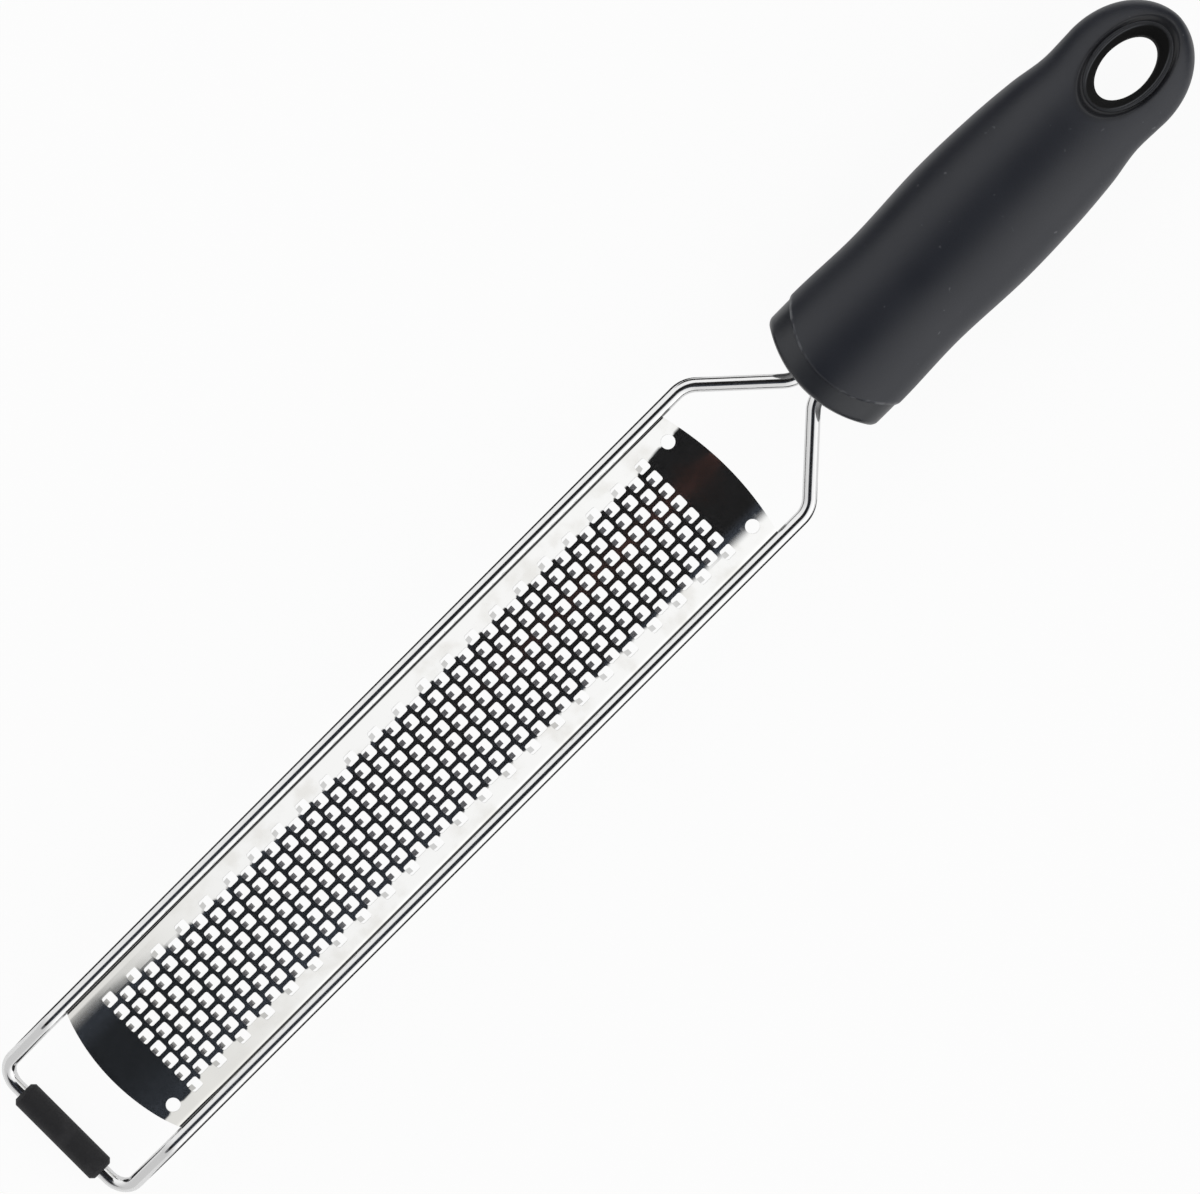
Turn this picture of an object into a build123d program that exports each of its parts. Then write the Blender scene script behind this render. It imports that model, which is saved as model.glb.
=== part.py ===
from build123d import *
from math import asin, cos, pi, radians, sin, sqrt, tan
import os

# Rasp zester, in millimetres. One bent steel wire carries an etched rasp blade
# and a rubber foot, and both of its ends are moulded into a two-material handle.
# The origin is on the table under the middle of the tool. +X points to the
# hanging hole, +Y across the blade and +Z up, out of the cutting side.

# Wire frame: round stainless wire, bent cold
wire_diameter = 3.0
frame_width = 38.2
foot_corner_radius = 4.5
foot_rise_run = 15.1
rise_bend_radius = 6.0
neck_bend_radius = 6.0
neck_run = 16.2
wire_seat_spacing = 5.3
wire_seat_depth = 40.0

# Rubber foot: a straight sleeve pushed over the middle of the wire
foot_diameter = 5.9
foot_end_gap = 1.75
foot_chamfer = 0.9
foot_fit_clearance = 0.05

# Rasp blade: etched stainless sheet, pressed to a shallow crown
foot_to_blade = 16.6
blade_length = 174.0
blade_tip_bow = 3.6
blade_handle_bow = 2.6
sheet_thickness = 0.5
crown_rise = 2.2
flank_angle = 15.0
roll_width = 1.0
roll_edge_height = 0.6
weld_gap = 0.05

# Teeth: staggered columns of windows, each with a tab bent up at its tip side
window_length = 2.65
window_width = 2.5
bridge_length = 0.78
bridge_width = 0.94
toothed_width = 26.8
tooth_margin_tip = 9.87
tooth_margin_handle = 10.45
tooth_length = 1.05
tooth_width = 1.1
tooth_lift = 0.55

# Pilot holes: one at the tip end and two at the handle end
pilot_hole_diameter = 3.0
pilot_side_inset = 4.15
pilot_tip_inset = 5.2
pilot_handle_inset = 4.8

# Handle: a hard core with a collar and an eyelet, under a soft grip
blade_to_handle = 21.6
handle_length = 104.5
grip_width = 30.9
grip_depth = 24.0
collar_step = 0.65
collar_width = 3.9
collar_bow = 6.9
collar_edge_radius = 1.0
grip_bow = 10.3
grip_edge_radius = 0.8
spine_width = 19.0
spine_depth = 13.0
spine_end_width = 12.0
spine_end_depth = 7.0

# Hanging hole: an eyelet of the core, flared to both faces
eyelet_end_distance = 14.7
hole_length = 14.8
hole_width = 9.5
mouth_length = 19.9
mouth_width = 12.6
throat_length = 7.0
eyelet_wall = 0.7
eyelet_recess = 0.9
dish_width = 1.5
dish_depth = 1.1

# One length by which a cutting tool runs past what it cuts
overrun = 2.0

# Handle form, from just ahead of the collar to the ring: each row gives the
# distance behind the collar as a share of the handle's length, then the
# half-width and half-depth as shares of the grip's full width and depth.
# It swells at the lip and at the palm, and is narrowest before the ring.
palm_share = 0.446
body_shares = (
    (-0.030, 0.488, 0.470),
    (0.125, 0.492, 0.478),
    (0.272, 0.476, 0.474),
    (palm_share, 0.500, 0.500),
    (0.585, 0.484, 0.462),
    (0.690, 0.450, 0.396),
    (0.762, 0.414, 0.338),
)
body_section_count = 13

# The ring round the hanging hole is a half ellipse in plan, centred at its
# widest place, and keeps its depth longer than its width towards the end
ring_centre_share = 0.842
ring_half_shares = (0.425, 0.300)
ring_angles = (-6, 16, 37, 55, 71, 84)
ring_depth_power = 0.6

# Places along the tool
foot_radius = foot_diameter / 2
overall_length = (foot_radius + foot_to_blade + blade_length
                  + blade_to_handle + handle_length)
x_foot = foot_radius - overall_length / 2
x_blade = x_foot + foot_to_blade
x_blade_end = x_blade + blade_length
x_handle = x_blade_end + blade_to_handle
x_end = x_handle + handle_length
x_eyelet = x_end - eyelet_end_distance

# Heights: the palm swell and the foot both touch the table
rail_height = grip_depth / 2
rail_offset = (frame_width - wire_diameter) / 2
edge_reach = wire_diameter / 2 + weld_gap
blade_half_width = rail_offset - sqrt(edge_reach ** 2 - roll_edge_height ** 2)

# Pattern of the teeth
pitch_x = window_length + bridge_length
pitch_y = window_width + bridge_width
field_length = blade_length - tooth_margin_tip - tooth_margin_handle
column_count = int((field_length - window_length) / pitch_x) + 1
row_count = int((toothed_width - window_width) / pitch_y) + 1
fold_offset = (row_count - 1) / 2 * pitch_y - pitch_y / 4


def on_deck(x, y, z):
    """A place measured from the rails' centre plane."""
    return (x, y, rail_height + z)


def make_wire_frame():
    """One wire from inside the handle, round the foot and back."""
    seat = wire_seat_spacing / 2
    x_neck = x_handle - neck_run
    x_rise = x_foot + foot_rise_run
    foot_drop = foot_radius - rail_height
    side = (
        on_deck(x_handle + wire_seat_depth, seat, 0),
        on_deck(x_handle, seat, 0),
        on_deck(x_neck, rail_offset, 0),
        on_deck(x_rise, rail_offset, 0),
        on_deck(x_foot, rail_offset, foot_drop),
    )
    other_side = tuple((x, -y, z) for x, y, z in reversed(side))
    bends = (neck_bend_radius, neck_bend_radius, rise_bend_radius, foot_corner_radius)
    path = FilletPolyline(*side, *other_side, radius=bends + tuple(reversed(bends)))
    start = Plane(origin=side[0], z_dir=(-1, 0, 0))
    return sweep(start * Circle(wire_diameter / 2), path=path)


def make_foot_sleeve():
    """A chamfered rubber tube on the straight part of the wire's cross bar."""
    straight = 2 * (rail_offset - foot_corner_radius)
    length = straight - 2 * foot_end_gap
    sleeve = Cylinder(foot_radius, length)
    sleeve = chamfer(sleeve.edges(), foot_chamfer)
    bore = Cylinder(wire_diameter / 2 + foot_fit_clearance, length + overrun)
    return Pos(x_foot, 0, foot_radius) * Rot(90, 0, 0) * (sleeve - bore)


def crown_section():
    """The sheet's section: a flat top, two sloping flanks and two rolled edges."""
    slope = radians(flank_angle)
    roll_start = blade_half_width - roll_width
    flank_drop = (roll_start - fold_offset) * tan(slope)
    start = Vector(roll_start, crown_rise - flank_drop)
    end = Vector(blade_half_width, roll_edge_height)
    inward = Vector(-sin(slope), -cos(slope))
    chord = end - start
    roll_radius = chord.length ** 2 / (2 * inward.dot(chord))
    centre = start + inward * roll_radius
    turn = 2 * asin(chord.length / (2 * roll_radius))

    def roll(depth, share):
        """A point of the rolled edge, at a depth in the sheet and a share of the turn."""
        angle = pi / 2 - slope - turn * share
        radius = roll_radius - depth
        return (centre.X + radius * cos(angle), centre.Y + radius * sin(angle))

    fold_depth = sheet_thickness * tan(slope / 2)
    outer_fold = (fold_offset, crown_rise)
    inner_fold = (fold_offset - fold_depth, crown_rise - sheet_thickness)
    with BuildSketch(Plane.YZ) as section:
        with BuildLine():
            Line((0, crown_rise), outer_fold)
            Line(outer_fold, roll(0, 0))
            ThreePointArc(roll(0, 0), roll(0, 1 / 2), roll(0, 1))
            Line(roll(0, 1), roll(sheet_thickness, 1))
            ThreePointArc(
                roll(sheet_thickness, 1), roll(sheet_thickness, 1 / 2), roll(sheet_thickness, 0)
            )
            Line(roll(sheet_thickness, 0), inner_fold)
            Line(inner_fold, (0, crown_rise - sheet_thickness))
            Line((0, crown_rise - sheet_thickness), (0, crown_rise))
        make_face()
        mirror(about=Plane.YZ)
    return section.sketch


def blade_blank():
    """The pressed sheet, cut to its bowed ends."""
    strip = extrude(crown_section(), amount=blade_length)
    reach = blade_half_width + overrun
    with BuildSketch() as plan:
        with BuildLine():
            ThreePointArc((blade_tip_bow, -reach), (0, 0), (blade_tip_bow, reach))
            Line((blade_tip_bow, reach), (blade_length - blade_handle_bow, reach))
            ThreePointArc(
                (blade_length - blade_handle_bow, reach),
                (blade_length, 0),
                (blade_length - blade_handle_bow, -reach),
            )
            Line((blade_length - blade_handle_bow, -reach), (blade_tip_bow, -reach))
        make_face()
    outline = extrude(plan.sketch, amount=crown_rise + overrun, both=True)
    return strip & outline


def window_places():
    """Centre of each window, with even columns one row wider than odd ones."""
    first = tooth_margin_tip + window_length / 2
    for column in range(column_count):
        rows = row_count - column % 2
        for row in range(rows):
            yield first + column * pitch_x, (row - (rows - 1) / 2) * pitch_y


def make_rasp_blade():
    """The blank with its windows, teeth and pilot holes."""
    blank = blade_blank()
    window = Box(window_length, window_width, 2 * crown_rise + overrun)
    pilot = Cylinder(pilot_hole_diameter / 2, 2 * crown_rise + overrun)
    pilot_y = blade_half_width - pilot_side_inset
    x_far = blade_length - pilot_handle_inset
    cuts = [Pos(x, y, crown_rise) * window for x, y in window_places()]
    cuts += [
        Pos(x, y, crown_rise) * pilot
        for x, y in ((pilot_tip_inset, -pilot_y), (x_far, -pilot_y), (x_far, pilot_y))
    ]

    # A tooth is a tab that rises from the sheet's full thickness to a sharp edge
    with BuildSketch(Plane.XZ) as profile:
        Polygon((0, 0), (tooth_length, tooth_lift), (0, -sheet_thickness), align=None)
    tooth = extrude(profile.sketch, amount=tooth_width / 2, both=True)
    teeth = []
    for x, y in window_places():
        past_fold = max(abs(y) - fold_offset, 0)
        tilt = 0 if past_fold == 0 else (-flank_angle if y > 0 else flank_angle)
        z = crown_rise - past_fold * tan(radians(flank_angle))
        teeth.append(Pos(x - window_length / 2, y, z) * Rot(tilt, 0, 0) * tooth)
    return Pos(x_blade, 0, rail_height) * (blank - cuts + teeth)


def handle_section(distance, half_width, half_depth):
    """An upright ellipse across the handle, at a distance behind the collar."""
    at = Plane(origin=on_deck(x_handle + distance, 0, 0), x_dir=(0, 1, 0), z_dir=(1, 0, 0))
    return at * Ellipse(half_width, half_depth)


def smooth_row(rows, along):
    """The row at a distance along, on a cubic through the rows, each passed at
    the slope between its two neighbours."""
    last = len(rows) - 1
    slopes = []
    for i in range(len(rows)):
        before, after = rows[max(i - 1, 0)], rows[min(i + 1, last)]
        slopes.append([(b - a) / (after[0] - before[0]) for a, b in zip(before, after)])
    i = max(k for k in range(last) if rows[k][0] <= along or k == 0)
    span = rows[i + 1][0] - rows[i][0]
    t = (along - rows[i][0]) / span
    return tuple(
        (2 * t ** 3 - 3 * t ** 2 + 1) * rows[i][k] + (t ** 3 - 2 * t ** 2 + t) * span * slopes[i][k]
        + (3 * t ** 2 - 2 * t ** 3) * rows[i + 1][k] + (t ** 3 - t ** 2) * span * slopes[i + 1][k]
        for k in range(3)
    )


def handle_form(inset):
    """The handle's rounded form, drawn in all round by an inset."""
    ring_x = ring_centre_share * handle_length
    ring_length = handle_length - ring_x - inset
    ring_width = grip_width * ring_half_shares[0] - inset
    ring_depth = grip_depth * ring_half_shares[1] - inset
    ring = []
    for angle in ring_angles:
        shrink = cos(radians(angle))
        ring.append((ring_x + ring_length * sin(radians(angle)), ring_width * shrink,
                     ring_depth * shrink ** ring_depth_power))

    rows = [(along * handle_length, wide * grip_width - inset, deep * grip_depth - inset)
            for along, wide, deep in body_shares] + ring[:1]
    step = (rows[-1][0] - rows[0][0]) / (body_section_count - 1)
    body = [smooth_row(rows, rows[0][0] + step * k) for k in range(body_section_count)]
    body_part = loft([handle_section(*row) for row in body])
    return body_part + loft([handle_section(*row) for row in ring])


def behind_bow(x_crown, bow):
    """All of the handle behind a front that bows towards the blade in plan."""
    reach = grip_width / 2 + overrun
    x_back = x_end + overrun
    with BuildSketch(Plane(origin=on_deck(0, 0, 0))) as plan:
        with BuildLine():
            ThreePointArc((x_crown + bow, -reach), (x_crown, 0), (x_crown + bow, reach))
            Polyline((x_crown + bow, reach), (x_back, reach), (x_back, -reach),
                     (x_crown + bow, -reach))
        make_face()
    return extrude(plan.sketch, amount=grip_depth, both=True)


def front_edges(solid, x_limit):
    """The edges whose middle lies ahead of a limit along the tool."""
    return solid.edges().filter_by(lambda edge: edge.center().X < x_limit)


def eyelet_loft(*rings):
    """An upright solid through ellipses of given length, width and height."""
    sections = [
        Plane(origin=on_deck(x_eyelet, 0, z)) * Ellipse(length / 2, width / 2)
        for length, width, z in rings
    ]
    return loft(sections, ruled=True)


def hanging_hole():
    """The through hole: a straight throat, flared to both faces."""
    face = ring_half_shares[1] * grip_depth
    throat = throat_length / 2
    flare = 1 + overrun / (face - throat)
    far_length = hole_length + (mouth_length - hole_length) * flare
    far_width = hole_width + (mouth_width - hole_width) * flare
    return eyelet_loft(
        (far_length, far_width, -face - overrun),
        (hole_length, hole_width, -throat),
        (hole_length, hole_width, throat),
        (far_length, far_width, face + overrun),
    )


def eyelet_post(margin):
    """An upright oval post round the hole's mouth, larger by a margin."""
    length = mouth_length + 2 * margin
    width = mouth_width + 2 * margin
    return eyelet_loft((length, width, -grip_depth / 2), (length, width, grip_depth / 2))


def eyelet_dish():
    """The grip's hole round the eyelet, with a shallow dish sloping down to it."""
    face = ring_half_shares[1] * grip_depth
    post_length = mouth_length + 2 * eyelet_wall
    post_width = mouth_width + 2 * eyelet_wall
    spread = 2 * dish_width * (1 + (overrun / dish_depth))
    dish = eyelet_loft(
        (post_length, post_width, face - dish_depth),
        (post_length + spread, post_width + spread, face + overrun),
    )
    middle = Plane(origin=on_deck(0, 0, 0))
    return eyelet_post(eyelet_wall) + dish + mirror(dish, about=middle)


def make_handle_core(wire):
    """Hard core: collar at the front, hidden spine, eyelet at the back."""
    collar = handle_form(collar_step) & behind_bow(x_handle, collar_bow)
    collar = fillet(front_edges(collar, x_handle + collar_bow), collar_edge_radius)
    collar = collar - behind_bow(x_handle + collar_width, grip_bow)

    stations = (
        (collar_width / 2, spine_width, spine_depth),
        (palm_share * handle_length, spine_width, spine_depth),
        (handle_length - eyelet_end_distance, spine_end_width, spine_end_depth),
    )
    spine = loft([
        Plane(origin=on_deck(x_handle + x, 0, 0), x_dir=(0, 1, 0), z_dir=(1, 0, 0))
        * Rectangle(width, depth)
        for x, width, depth in stations
    ], ruled=True)
    eyelet = eyelet_post(eyelet_wall) & handle_form(eyelet_recess)
    return collar + spine + eyelet - hanging_hole() - wire


def make_soft_grip(core, wire):
    """Soft grip moulded over the core, from the collar to the ring."""
    grip = handle_form(0) & behind_bow(x_handle + collar_width, grip_bow)
    grip = fillet(front_edges(grip, x_handle + collar_width + grip_bow), grip_edge_radius)
    return grip - eyelet_dish() - core - wire


if __name__ == "__main__":
    os.makedirs("parts", exist_ok=True)
    wire_frame = make_wire_frame()
    handle_core = make_handle_core(wire_frame)
    parts = {
        "wire_frame": wire_frame,
        "foot_sleeve": make_foot_sleeve(),
        "rasp_blade": make_rasp_blade(),
        "handle_core": handle_core,
        "soft_grip": make_soft_grip(handle_core, wire_frame),
    }
    for node, solid in parts.items():
        solid.label = node
        export_step(solid, f"parts/{node}.step")
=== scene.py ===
from math import cos, pi, radians, sin
import bpy
import numpy as np
from mathutils import Matrix, Vector


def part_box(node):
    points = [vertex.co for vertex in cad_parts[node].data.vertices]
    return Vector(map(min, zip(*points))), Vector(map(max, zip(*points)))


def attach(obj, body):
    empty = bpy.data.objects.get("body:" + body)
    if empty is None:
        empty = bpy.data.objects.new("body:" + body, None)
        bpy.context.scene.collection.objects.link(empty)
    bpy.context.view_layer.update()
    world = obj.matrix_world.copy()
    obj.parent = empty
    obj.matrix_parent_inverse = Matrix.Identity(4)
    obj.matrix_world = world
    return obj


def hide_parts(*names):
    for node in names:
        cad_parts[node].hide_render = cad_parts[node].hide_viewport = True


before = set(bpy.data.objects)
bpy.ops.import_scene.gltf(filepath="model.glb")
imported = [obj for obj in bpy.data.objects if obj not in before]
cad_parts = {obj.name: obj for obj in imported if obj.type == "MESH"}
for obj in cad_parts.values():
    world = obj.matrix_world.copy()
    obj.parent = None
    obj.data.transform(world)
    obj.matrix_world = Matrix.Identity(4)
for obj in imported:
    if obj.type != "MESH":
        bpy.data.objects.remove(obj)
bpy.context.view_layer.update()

# Wire frame. One 3 mm round stainless wire, drawn and polished bright. It is
# bent cold into a long loop: both rails, a dropped cross bar for the foot, and
# two ends that converge at the neck and run on inside the handle.
mm = 0.001
wire_radius = 1.5 * mm
rail_y = 17.6 * mm
seat_y = 2.65 * mm
rail_z = 12.0 * mm
foot_z = 2.95 * mm
foot_x = (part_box("foot_sleeve")[0].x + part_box("foot_sleeve")[1].x) / 2
collar_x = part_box("handle_core")[0].x
neck_x = collar_x - 16.2 * mm
rise_x = foot_x + 15.1 * mm
seat_end_x = collar_x + 40.0 * mm
steel_grey = "#EAEAEA"
# Painted shade where blade and wire meet: its dark grey, and where it lies across and along.
joint_shade_grey = "#2A2A2A"
wire_joint_shade_side = (16.6 * mm, 16.3 * mm)
joint_shade_ends = ((34.2 * mm, 33.4 * mm), (-139.0 * mm, -138.0 * mm))
crease_angle = radians(35)
smooth_step, mix_colours = {"interpolation_type": "SMOOTHSTEP"}, {"data_type": "RGBA"}
multiply, absolute = {"operation": "MULTIPLY"}, {"operation": "ABSOLUTE"}


def to_linear(code):
    """A colour written as sRGB hex, turned to linear red, green, blue and alpha: near
    black by a plain share, and above that by the 2.4th power of the raised value."""
    parts = [int(code[i:i + 2], 16) / 255 for i in (1, 3, 5)]
    linear = [c / 12.92 if c <= 0.04045 else ((c + 0.055) / 1.055) ** 2.4 for c in parts]
    return (*linear, 1.0)


def add_node(tree, kind, settings=None, values=None, links=None):
    """One node of a kind, with its own settings, its sockets' values and its incoming links."""
    node = tree.nodes.new(kind)
    for name, value in (settings or {}).items():
        setattr(node, name, value)
    for socket, value in (values or {}).items():
        node.inputs[socket].default_value = value
    for socket, source in (links or {}).items():
        tree.links.new(source, node.inputs[socket])
    return node


def along_and_across(tree, place):
    """The place along the tool, and the distance to either side of its middle."""
    apart = add_node(tree, "ShaderNodeSeparateXYZ", links={0: place})
    across = add_node(tree, "ShaderNodeMath", absolute, links={0: apart.outputs[1]})
    return apart.outputs[0], across.outputs[0]


def new_material(name):
    """An empty material, with its tree, its Principled shader and its object coordinates."""
    material = bpy.data.materials.new(name)
    material.use_nodes = True
    tree = material.node_tree
    tree.nodes.clear()
    output = tree.nodes.new("ShaderNodeOutputMaterial")
    shader = tree.nodes.new("ShaderNodeBsdfPrincipled")
    tree.links.new(shader.outputs["BSDF"], output.inputs["Surface"])
    coordinates = tree.nodes.new("ShaderNodeTexCoord")
    return material, tree, shader, coordinates.outputs["Object"]


def make_piece(name, points, face_blocks, material, node):
    """A mesh from points and blocks of faces, smooth but for its creases, dressed, and
    put in place of its CAD node."""
    mesh = bpy.data.meshes.new(name)
    faces = [face for block in face_blocks for face in block.tolist()]
    mesh.from_pydata(points.tolist(), [], faces)
    mesh.polygons.foreach_set("use_smooth", np.ones(len(mesh.polygons), dtype=bool))
    mesh.set_sharp_from_angle(angle=crease_angle)
    mesh.materials.append(material)
    mesh.update()
    piece = bpy.data.objects.new(name, mesh)
    bpy.context.scene.collection.objects.link(piece)
    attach(piece, "root")
    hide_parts(node)


def grid_faces(rows, columns, closed=True):
    """Quads between neighbouring rows of a grid of points, round and round if closed."""
    r = np.arange(rows - 1)[:, None]
    c = np.arange(columns if closed else columns - 1)[None, :]
    n = (c + 1) % columns
    row, next_row = r * columns, (r + 1) * columns
    return np.stack([row + c, row + n, next_row + n, next_row + c], -1).reshape(-1, 4)


def rounded_route(corners, radii, steps=12):
    """A route through corners, each corner but the first and last rounded by an arc:
    its ends lie radius over tan(half the corner's inner angle) from the corner."""
    corners = np.array(corners)
    route = [corners[0]]
    for before, corner, after, radius in zip(corners, corners[1:], corners[2:], radii):
        a, b = before - corner, after - corner
        a, b = a / np.linalg.norm(a), b / np.linalg.norm(b)
        half = np.arccos(np.clip(a @ b, -1, 1)) / 2
        bisector = (a + b) / np.linalg.norm(a + b)
        centre = corner + bisector * radius / np.sin(half)
        start, end = corner + a * radius / np.tan(half), corner + b * radius / np.tan(half)
        turn = np.linspace(0, 1, steps + 1)[:, None]
        p, q = (start - centre) / radius, (end - centre) / radius
        whole = np.arccos(np.clip(p @ q, -1, 1))
        arc = (np.sin((1 - turn) * whole) * p + np.sin(turn * whole) * q) / np.sin(whole)
        route.extend(centre + radius * arc)
    route.append(corners[-1])
    return np.array(route)


def closed_rings(rings):
    """A surface through rings, closed at both ends by a fan to a middle point."""
    rows, sides = rings.shape[:2]
    points = np.concatenate([rings.reshape(-1, 3), [rings[0].mean(0), rings[-1].mean(0)]])
    k = np.arange(sides)
    n = (k + 1) % sides
    front = np.stack([n, k, np.full(sides, rows * sides)], -1)
    base = (rows - 1) * sides
    back = np.stack([base + k, base + n, np.full(sides, rows * sides + 1)], -1)
    return points, [grid_faces(rows, sides), front, back]


def tube(route, radius, sides=32):
    """A round tube: a circle carried square to a route, turning no more than the route
    does, with flat, closed ends."""
    along = np.gradient(route, axis=0)
    along /= np.linalg.norm(along, axis=1, keepdims=True)
    up = np.zeros_like(route)
    up[0] = np.cross(along[0], (0, 1, 0))
    for i in range(1, len(route)):
        up[i] = up[i - 1] - along[i] * (up[i - 1] @ along[i])
        up[i] /= np.linalg.norm(up[i])
    side = np.cross(along, up)
    angle = np.linspace(0, 2 * pi, sides, endpoint=False)
    ring = (np.cos(angle)[None, :, None] * up[:, None]
            + np.sin(angle)[None, :, None] * side[:, None])
    return closed_rings(route[:, None] + radius * ring)


side_corners = [(seat_end_x, seat_y, rail_z), (collar_x, seat_y, rail_z),
                (neck_x, rail_y, rail_z), (rise_x, rail_y, rail_z), (foot_x, rail_y, foot_z)]
far_corners = [(x, -y, z) for x, y, z in reversed(side_corners)]
bend_radii = [6.0 * mm, 6.0 * mm, 6.0 * mm, 4.5 * mm]
wire_route = rounded_route(side_corners + far_corners, bend_radii + bend_radii[::-1])


def make_polished_wire():
    """Stainless wire, drawn and then polished. It mirrors the room sharply, with
    faint lengthwise drawing lines, a slight cloudiness from handling, and painted
    shade as a dark line where the blade is welded to it. Real drawing lines are too fine
    to show, so they are drawn 0.4 mm apart and 17 mm long. The clouds are 7 mm wide."""
    material, tree, shader, place = new_material("polished_stainless_wire")
    stretched = add_node(tree, "ShaderNodeMapping", links={"Vector": place},
                         values={"Scale": (0.06 / mm, 2.6 / mm, 2.6 / mm)})
    lines = add_node(tree, "ShaderNodeTexNoise", values={"Scale": 1.0, "Detail": 3.0},
                     links={"Vector": stretched.outputs[0]})
    clouds = add_node(tree, "ShaderNodeTexNoise", values={"Scale": 0.14 / mm, "Detail": 4.0},
                      links={"Vector": place})
    rough = add_node(tree, "ShaderNodeMapRange", values={1: 0.35, 2: 0.7, 3: 0.07, 4: 0.15},
                     links={0: clouds.outputs[0]})
    bump = add_node(tree, "ShaderNodeBump", values={"Strength": 0.02, "Distance": 0.01 * mm},
                    links={"Height": lines.outputs[0]})
    along, across = along_and_across(tree, place)
    # Painted shade: a dark line on the wire's inner side, along the blade's edge.
    joint_shade = add_node(tree, "ShaderNodeMapRange", smooth_step,
                      {1: wire_joint_shade_side[0], 2: wire_joint_shade_side[1], 4: 0.8}, {0: across})
    for start, end in joint_shade_ends:
        before_end = add_node(tree, "ShaderNodeMapRange", smooth_step, {1: start, 2: end},
                              {0: along})
        joint_shade = add_node(tree, "ShaderNodeMath", multiply,
                          links={0: joint_shade.outputs[0], 1: before_end.outputs[0]})
    colour = add_node(tree, "ShaderNodeMix", mix_colours,
                      {6: to_linear(steel_grey), 7: to_linear(joint_shade_grey)}, {0: joint_shade.outputs[0]})
    tree.links.new(rough.outputs[0], shader.inputs["Roughness"])
    tree.links.new(bump.outputs[0], shader.inputs["Normal"])
    tree.links.new(colour.outputs[2], shader.inputs["Base Color"])
    shader.inputs["Metallic"].default_value = 1.0
    return material


wire_points, wire_faces = tube(wire_route, wire_radius)
make_piece("wire_loop", wire_points, wire_faces, make_polished_wire(),
           "wire_frame")

# Foot sleeve. A short rubber tube with chamfered ends, extruded, cut to length
# and pushed on to the cross bar before the wire is bent shut. It grips by being tight.
foot_radius = 2.95 * mm
foot_half = 11.35 * mm
foot_bore = 1.5 * mm
foot_chamfer = 0.9 * mm
foot_black, scuff_grey = "#1A1A1D", "#4A4A4C"


def turned_loop(profile, centre, sides=64):
    """A closed profile of radius and place along Y, turned round an axis along Y."""
    profile = np.array(profile)
    angle = np.linspace(0, 2 * pi, sides, endpoint=False)
    points = np.empty((len(profile), sides, 3))
    points[..., 0] = centre[0] + profile[:, :1] * np.cos(angle)
    points[..., 1] = centre[1] + profile[:, 1:]
    points[..., 2] = centre[2] + profile[:, :1] * np.sin(angle)
    rows = np.concatenate([points, points[:1]])
    faces = grid_faces(len(rows), sides)
    return points.reshape(-1, 3), faces % (len(profile) * sides)


def make_foot_rubber():
    """Extruded black rubber, slightly dusty. It is matt, with a fine dull skin and
    paler scuffs. The skin's real grain is too fine to show, so it is drawn at
    0.45 mm. The scuffs are 4 mm wide."""
    material, tree, shader, place = new_material("extruded_black_rubber")
    skin = add_node(tree, "ShaderNodeTexNoise", values={"Scale": 2.2 / mm, "Detail": 2.0},
                    links={"Vector": place})
    dust = add_node(tree, "ShaderNodeTexNoise", values={"Scale": 0.26 / mm, "Detail": 5.0},
                    links={"Vector": place})
    scuff = add_node(tree, "ShaderNodeMapRange", values={1: 0.5, 2: 0.75, 3: 0.0, 4: 0.35},
                     links={0: dust.outputs[0]})
    colour = add_node(tree, "ShaderNodeMix", mix_colours,
                      {6: to_linear(foot_black), 7: to_linear(scuff_grey)}, {0: scuff.outputs[0]})
    rough = add_node(tree, "ShaderNodeMapRange", values={1: 0.3, 2: 0.7, 3: 0.62, 4: 0.8},
                     links={0: dust.outputs[0]})
    bump = add_node(tree, "ShaderNodeBump", values={"Strength": 0.25, "Distance": 0.05 * mm},
                    links={"Height": skin.outputs[0]})
    tree.links.new(colour.outputs[2], shader.inputs["Base Color"])
    tree.links.new(rough.outputs[0], shader.inputs["Roughness"])
    tree.links.new(bump.outputs[0], shader.inputs["Normal"])
    return material


end_face = foot_radius - foot_chamfer
foot_profile = [(foot_bore, -foot_half), (end_face, -foot_half),
                (end_face + 0.12 * mm, -foot_half + 0.03 * mm),
                (foot_radius - 0.03 * mm, -foot_half + 0.78 * mm),
                (foot_radius, -foot_half + 0.92 * mm)]
foot_profile += [(r, -y) for r, y in reversed(foot_profile)]
foot_points, foot_faces = turned_loop(foot_profile, (foot_x, 0, foot_z))
make_piece("foot_sleeve_rubber", foot_points, [foot_faces], make_foot_rubber(),
           "foot_sleeve")

# Rasp blade. One sheet of 0.5 mm stainless steel, photo-etched with staggered
# windows, then pressed: the teeth are bent up, the flanks folded down, and the
# two long edges rolled and welded to the rails.
blade_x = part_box("rasp_blade")[0].x
blade_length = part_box("rasp_blade")[1].x - blade_x
sheet = 0.5 * mm
tip_bow, handle_bow = 3.6 * mm, 2.6 * mm
bow_reach = 18.05 * mm
crown = 2.2 * mm
fold_slope = radians(15)
left_fold = np.array([(0, 11.0, 8.6), (9, 11.0, 8.2), (18, 11.0, 4.6), (34, 10.9, 0.7),
                      (160, 10.8, 0.7), (166, 11.15, 3.0), (174, 11.15, 3.2)]) * mm
right_fold = np.array([(0, 12.0, 2.2), (9, 11.8, 2.0), (15, 10.9, 0.8), (120, 10.8, 0.8),
                       (150, 10.7, 1.6), (162, 10.8, 4.4), (166, 10.85, 5.2),
                       (174, 10.85, 5.2)]) * mm
left_lean = np.array([(0, 11.2), (9, 11.0), (20, 12.4), (40, 15.0)])
roll_y = 15.17 * mm
edge_y = 16.17 * mm
edge_height = 0.6 * mm
pitch_x, pitch_y = 3.43 * mm, 3.44 * mm
window_length, window_width, window_corner = 2.65 * mm, 2.5 * mm, 0.42 * mm
first_window = 9.87 * mm
column_count, row_count = 45, 8
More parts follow.
